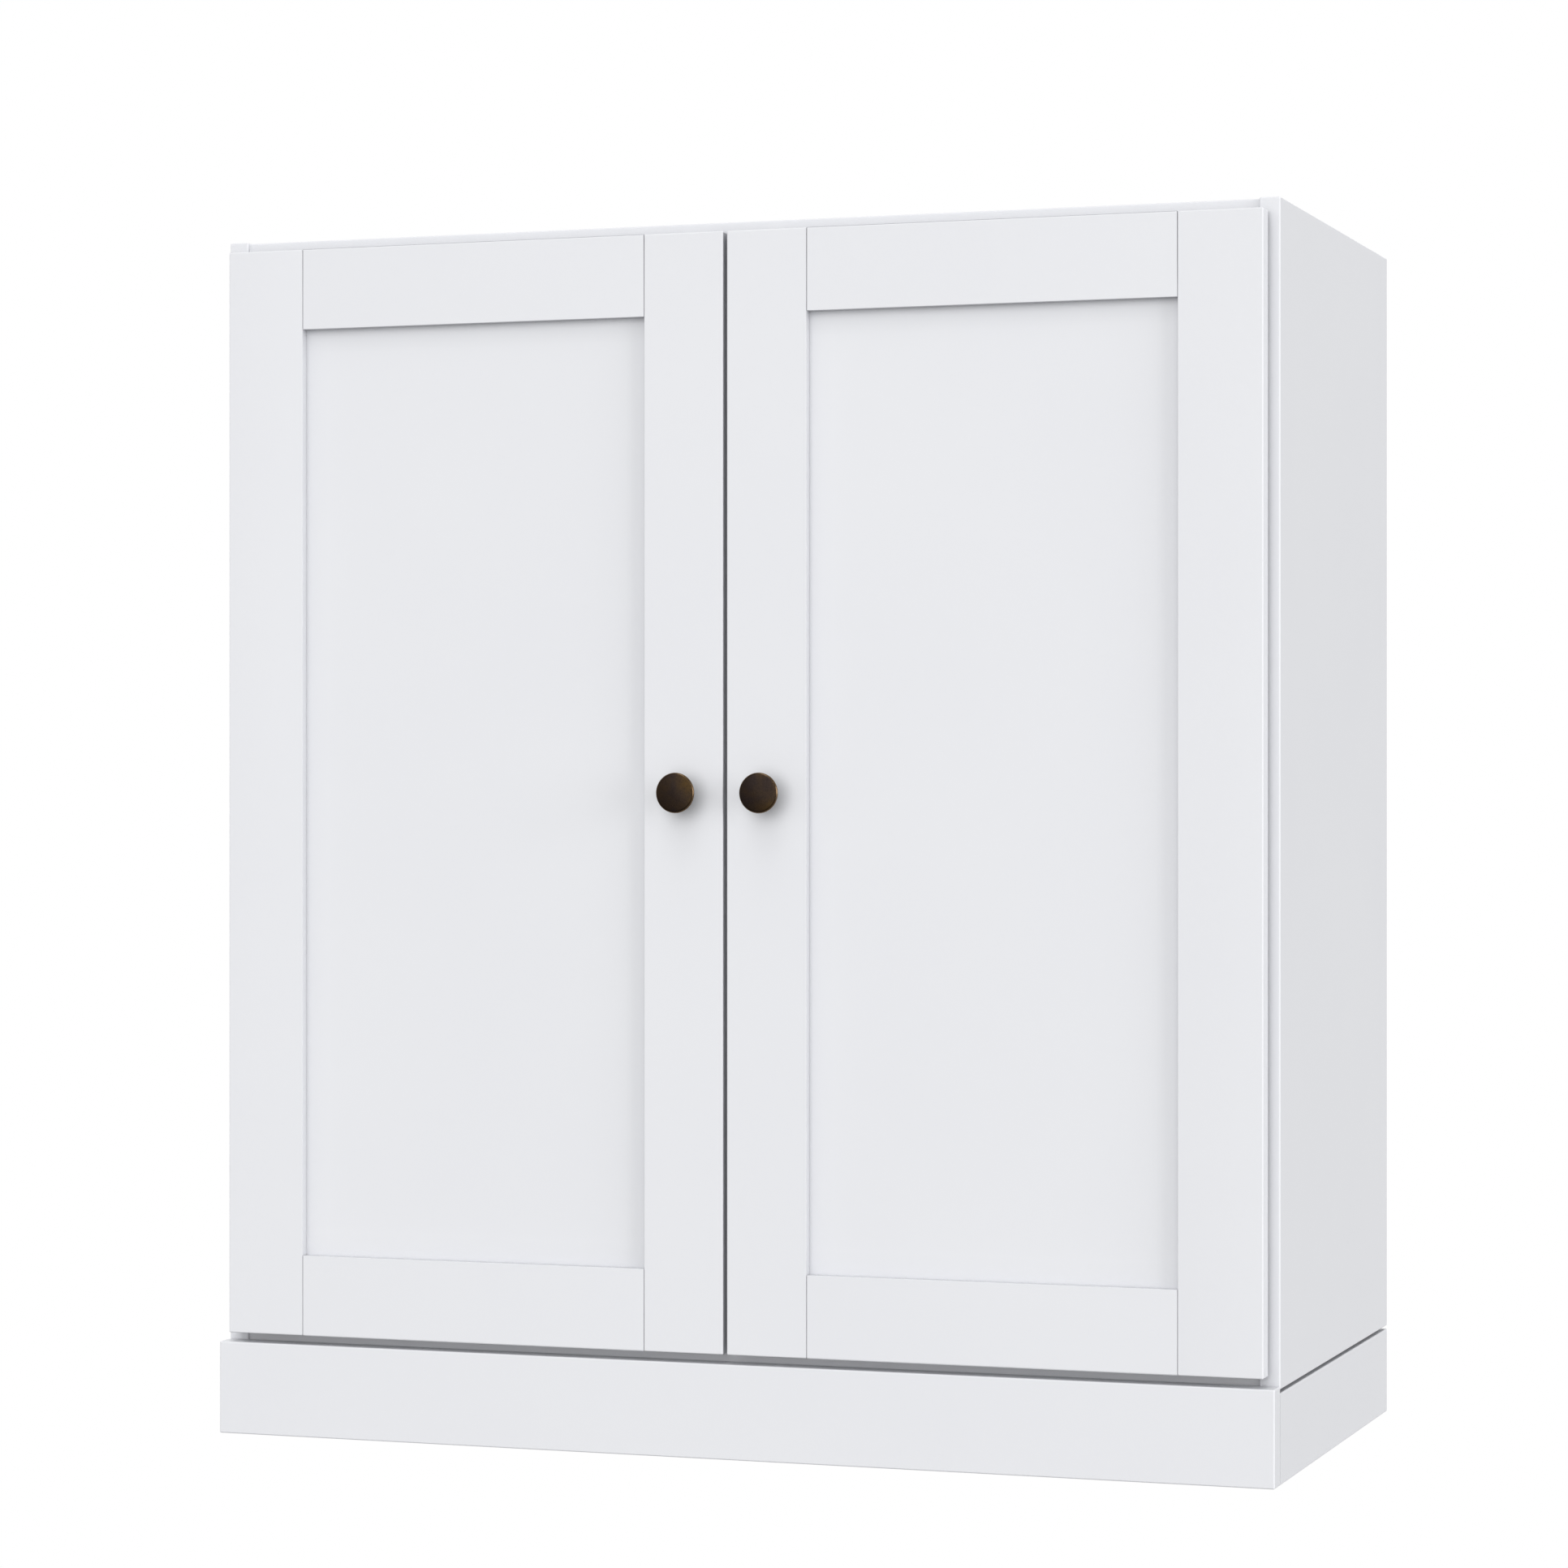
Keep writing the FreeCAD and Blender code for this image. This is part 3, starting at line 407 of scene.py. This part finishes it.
def welded_copy(node):
    """A copy of a CAD node's mesh, with its vertices joined."""
    shape = bmesh.new()
    shape.from_mesh(frame["nodes"][node].data)
    bmesh.ops.remove_doubles(shape, verts=shape.verts, dist=ONE_VERTEX)
    return shape


def join_flats(shape):
    """Make each flat stretch of a mesh one face."""
    bmesh.ops.dissolve_limit(
        shape, angle_limit=STILL_FLAT, verts=shape.verts, edges=shape.edges,
        use_dissolve_boundaries=False,
    )


def keep_flats_flat(piece):
    """Let the broad flat faces set the shading, so that it turns only at the narrow edges."""
    flat = piece.modifiers.new("flat_faces", "WEIGHTED_NORMAL")
    flat.keep_sharp = True
    flat.weight = 100


def turned_knob(side):
    """A knob turned on a lathe: foot, waisted neck, flared back, thin lip and a barely domed face."""
    node = side + "_door_knob"
    low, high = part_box(node)
    middle = (low + high) / 2
    radius = (high.x - low.x) / 2 / MM
    length = (high.y - low.y) / MM
    lip, dome = 1.6, 0.35
    lip_steps, face_rings, steps_around = 8, 10, 96
    touching = 0.001 * MM
    # Radius and distance from the door, in millimetres
    outline = [
        (0, 0), (6.7, 0), (7.0, 0.3), (7.0, 1.3), (6.6, 1.9), (5.6, 2.9), (5.2, 4.2), (5.1, 6.5),
        (5.2, 9.0), (5.7, 11.4), (7.2, 13.4), (9.6, 14.8), (12.4, 15.6), (14.0, 15.9),
    ]
    for step in range(lip_steps + 1):
        turn = math.pi / 2 * step / lip_steps
        outline.append((radius - lip + lip * math.cos(turn), length - dome - lip + lip * math.sin(turn)))
    flat = radius - lip
    for step in range(1, face_rings + 1):
        reach = flat * (1 - step / face_rings)
        outline.append((reach, length - dome * (reach / flat) ** 2))
    shape = bmesh.new()
    ring = [shape.verts.new((middle.x + r * MM, high.y - y * MM, middle.z)) for r, y in outline]
    edges = [shape.edges.new(pair) for pair in zip(ring, ring[1:])]
    bmesh.ops.spin(
        shape, geom=ring + edges, cent=(middle.x, 0, middle.z), axis=(0, 1, 0),
        angle=math.tau, steps=steps_around, use_merge=True,
    )
    bmesh.ops.remove_doubles(shape, verts=shape.verts, dist=touching)
    piece_from(shape, side + "_turned_knob", node)


def sharpen(shape, across, edge, front):
    """Draw the broken front edge of a member in, where it meets its neighbour or the panel."""
    drawn_in = CAD_ARRIS - FINE_ARRIS
    arris_starts, arris_ends = front + CAD_ARRIS - 2 * ON_THE_LINE, front + CAD_ARRIS + 2 * ON_THE_LINE
    near = [vert for vert in shape.verts if vert.co.y < arris_ends]
    gaps = [(vert, edge - vert.co.dot(across)) for vert in near]
    on_face = [(vert, gap) for vert, gap in gaps if abs(abs(gap) - CAD_ARRIS) < ON_THE_LINE]
    on_wall = [vert for vert, gap in gaps if abs(gap) < ON_THE_LINE and vert.co.y > arris_starts]
    for sign in (1, -1):
        moved = [vert for vert, gap in on_face if gap * sign > 0]
        bmesh.ops.translate(shape, verts=moved, vec=across * sign * drawn_in)
    bmesh.ops.translate(shape, verts=on_wall, vec=(0, -drawn_in, 0))


def frame_member(side, part):
    """A door stile or rail. Rails stop a hair short of the stiles, so their joints show as dark lines."""
    node = side + "_door_" + part
    low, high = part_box(node)
    panel_low, panel_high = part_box(side + "_door_centre_panel")
    panel_middle = (panel_low + panel_high) / 2
    shape = welded_copy(node)
    if part.endswith("stile"):
        inner = min((low.x, high.x), key=lambda x: abs(x - panel_middle.x))
        sharpen(shape, RIGHTWARD, inner, low.y)
    else:
        inner = min((low.z, high.z), key=lambda z: abs(z - panel_middle.z))
        sharpen(shape, UPWARD, inner, low.y)
        stiles = [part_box(side + "_door_" + name) for name in ("outer_stile", "inner_stile")]
        for shoulder in sorted(corner.x for stile in stiles for corner in stile)[1:3]:
            inward = 1 if shoulder < panel_middle.x else -1
            sharpen(shape, RIGHTWARD, shoulder, low.y)
            end = [vert for vert in shape.verts if abs(vert.co.x - shoulder) < 2 * FINE_ARRIS]
            bmesh.ops.translate(shape, verts=end, vec=(inward * HAIR_GAP, 0, 0))
    join_flats(shape)
    keep_flats_flat(piece_from(shape, side + "_" + part, node))


def eased(node, name, width_mm):
    """A copy of a hard piece with its sharp edges broken, as a tumbled or sanded piece has."""
    shape = welded_copy(node)
    join_flats(shape)
    piece = piece_from(shape, name, node)
    edge = piece.modifiers.new("broken_edges", "BEVEL")
    edge.width = width_mm * MM
    edge.segments = 2
    edge.limit_method = "ANGLE"
    edge.angle_limit = SHARP
    edge.harden_normals = True


def soft_pads(side):
    """Two soft pads on a door's back, each a crowned cushion of rubber stuck on its flat side."""
    node = side + "_door_bumpers"
    corner, crown = 2.2 * MM, 0.8 * MM
    low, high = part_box(node)
    middle_z = (low.z + high.z) / 2
    points = [vertex.co.copy() for vertex in frame["nodes"][node].data.vertices]
    shape = bmesh.new()
    for pad in ([p for p in points if p.z < middle_z], [p for p in points if p.z > middle_z]):
        least = Vector([min(p[axis] for p in pad) for axis in range(3)])
        most = Vector([max(p[axis] for p in pad) for axis in range(3)])
        made = bmesh.ops.create_cube(shape, size=1.0)["verts"]
        bmesh.ops.scale(shape, verts=made, vec=most - least)
        bmesh.ops.translate(shape, verts=made, vec=(least + most) / 2)
        own_edges = [edge for edge in shape.edges if edge.verts[0] in made]
        corners = [edge for edge in own_edges if abs(edge.verts[0].co.y - edge.verts[1].co.y) > crown]
        bmesh.ops.bevel(
            shape, geom=corners, offset=corner, segments=5, affect="EDGES", profile=0.5, material=-1,
        )
        own_faces = [face for face in shape.faces if least.z < face.calc_center_median().z < most.z]
        soft_face = max(own_faces, key=lambda face: face.normal.y * (len(face.verts) > 4))
        bmesh.ops.bevel(
            shape, geom=list(soft_face.edges), offset=crown, segments=4,
            affect="EDGES", profile=0.5, material=-1,
        )
    piece_from(shape, side + "_soft_pads", node)


for side in SIDES:
    turned_knob(side)
    soft_pads(side)
    for part in DOOR_FRAME:
        frame_member(side, part)
    for level in LEVELS:
        eased("hinge_plate_" + side + "_" + level, "cast_plate_" + side + "_" + level, 0.3)
        eased("hinge_arm_" + side + "_" + level, "pressed_arm_" + side + "_" + level, 0.2)
        eased("hinge_cup_" + side + "_" + level, "pressed_cup_" + side + "_" + level, 0.15)
eased("corner_blocks", "sanded_corner_blocks", 0.6)


# Stage

def plain_floor():
    """A matt floor well under the hung cabinet: pale to the eye, and dull in the light it throws back."""
    radius, middle = 6.0, (0, -0.2, -1.35)
    shape = bmesh.new()
    bmesh.ops.create_circle(shape, cap_ends=True, segments=128, radius=radius)
    bmesh.ops.translate(shape, verts=shape.verts, vec=middle)
    mesh = bpy.data.meshes.new("floor")
    shape.to_mesh(mesh)
    shape.free()
    floor = bpy.data.objects.new("floor", mesh)
    bpy.context.scene.collection.objects.link(floor)
    material, tree, place = new_material("matt_pale_floor")
    cloud = add(tree, "ShaderNodeTexNoise", Vector=place, Scale=grains(400), Detail=3.0)
    pale = add(tree, "ShaderNodeMix", 2, COLOURS, _0=cloud, _6=linear("#F0F0F0"), _7=linear("#EBEBEB"))
    seen = add(tree, "ShaderNodeLightPath", "Is Camera Ray")
    colour = add(tree, "ShaderNodeMix", 2, COLOURS, _0=seen, _6=linear("#8C8C8C"), _7=pale)
    shader = add(tree, "ShaderNodeBsdfPrincipled", Base_Color=colour, Roughness=0.8)
    add(tree, "ShaderNodeOutputMaterial", Surface=shader)
    mesh.materials.append(material)


def soft_sun(name, aside, up, spread, strength):
    """Soft even light from a direction: degrees to the right of the front, degrees up, and its width."""
    distance = 3.0
    flat = math.cos(math.radians(up))
    toward = Vector((
        math.sin(math.radians(aside)) * flat,
        -math.cos(math.radians(aside)) * flat,
        math.sin(math.radians(up)),
    ))
    lamp = bpy.data.lights.new(name, "SUN")
    lamp.angle = math.radians(spread)
    lamp.energy = strength
    holder = bpy.data.objects.new(name, lamp)
    holder.location = toward * distance
    holder.rotation_euler = (-toward).to_track_quat("-Z", "Y").to_euler()
    bpy.context.scene.collection.objects.link(holder)


def white_room():
    """A white backdrop to the eye, and an even pale light on the piece."""
    world = bpy.data.worlds.new("white_room")
    world.use_nodes = True
    tree = world.node_tree
    tree.nodes.clear()
    backdrop = add(tree, "ShaderNodeBackground", Color=(1, 1, 1, 1), Strength=1.0)
    glow = add(tree, "ShaderNodeBackground", Color=(1, 1, 1, 1), Strength=0.36)
    seen = add(tree, "ShaderNodeLightPath", "Is Camera Ray")
    both = add(tree, "ShaderNodeMixShader", _0=seen, _1=glow, _2=backdrop)
    add(tree, "ShaderNodeOutputWorld", Surface=both)
    bpy.context.scene.world = world
    bpy.context.scene.view_settings.view_transform = "Standard"


def camera():
    """A long lens, level with the knobs and standing to the right of the cabinet."""
    data = bpy.data.cameras.new("camera")
    data.sensor_width = 36.0
    data.lens = 99.50
    eye = bpy.data.objects.new("camera", data)
    eye.location = (1.0676, -3.3568, 0.4903)
    eye.rotation_euler = (math.radians(90.0), 0.0, math.radians(19.071))
    bpy.context.scene.collection.objects.link(eye)
    bpy.context.scene.camera = eye


# Each light's degrees to the right of the front, degrees up, width in degrees and strength
LIGHTS = {
    "front_light": (0, 15, 50, 1.25),
    "top_light": (0, 50, 30, 0.28),
    "high_light": (0, 68, 25, 0.38),
    "right_light": (70, 5, 30, 0.95),
    "side_light": (92, 10, 30, 1.02),
    "left_light": (-45, 10, 40, 0.2),
    "glint": (38, 32, 3, 0.05),
    "left_side_fill": (-115, 15, 50, 0.9),
    "rear_fill": (-150, 20, 70, 1.1),
}

plain_floor()
white_room()
for name, light in LIGHTS.items():
    soft_sun(name, *light)
camera()
